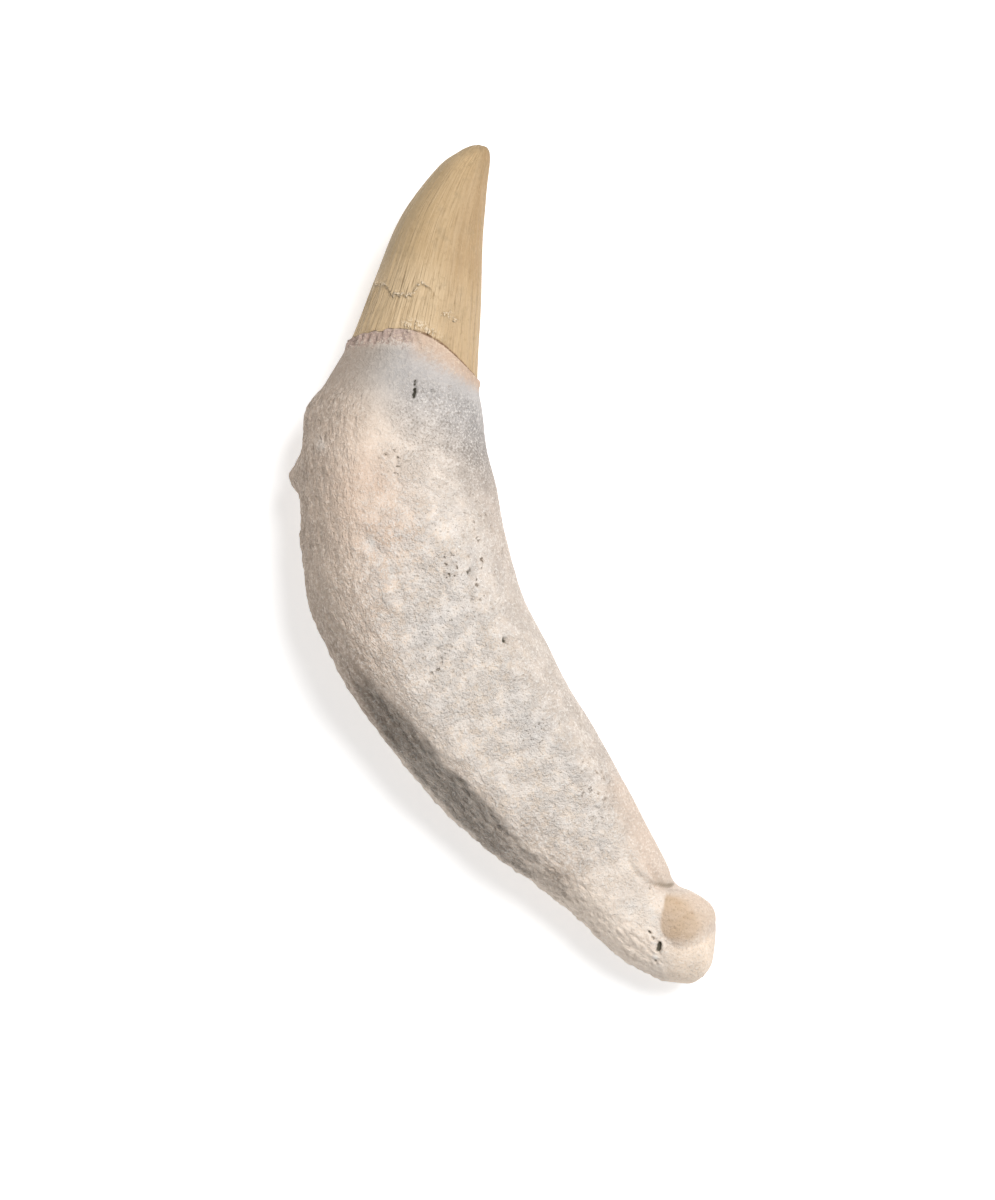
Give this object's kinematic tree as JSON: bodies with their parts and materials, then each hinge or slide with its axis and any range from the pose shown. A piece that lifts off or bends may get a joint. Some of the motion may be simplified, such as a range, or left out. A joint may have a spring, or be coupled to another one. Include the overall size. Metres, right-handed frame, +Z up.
{
  "type": "fossil dolphin tooth",
  "caption": "Whole fossil tooth of a large dolphin: a smooth conical crown on a swollen, curved root with a hooked knob at its end, lying on its side.",
  "frame": {"origin": "on the surface it rests on, below the centre of the tooth's bounding box", "axes": "+Y along the straight line from the root end to the crown tip, +Z up from the surface, -X towards the bulging side of the root"},
  "size_m": [0.0218, 0.0602, 0.0121],
  "materials": {
    "tooth": "matt cream root with grey stain, satin tan enamel crown"
  },
  "bodies": {
    "root": {"tooth": "tooth"}
  },
  "joints": []
}
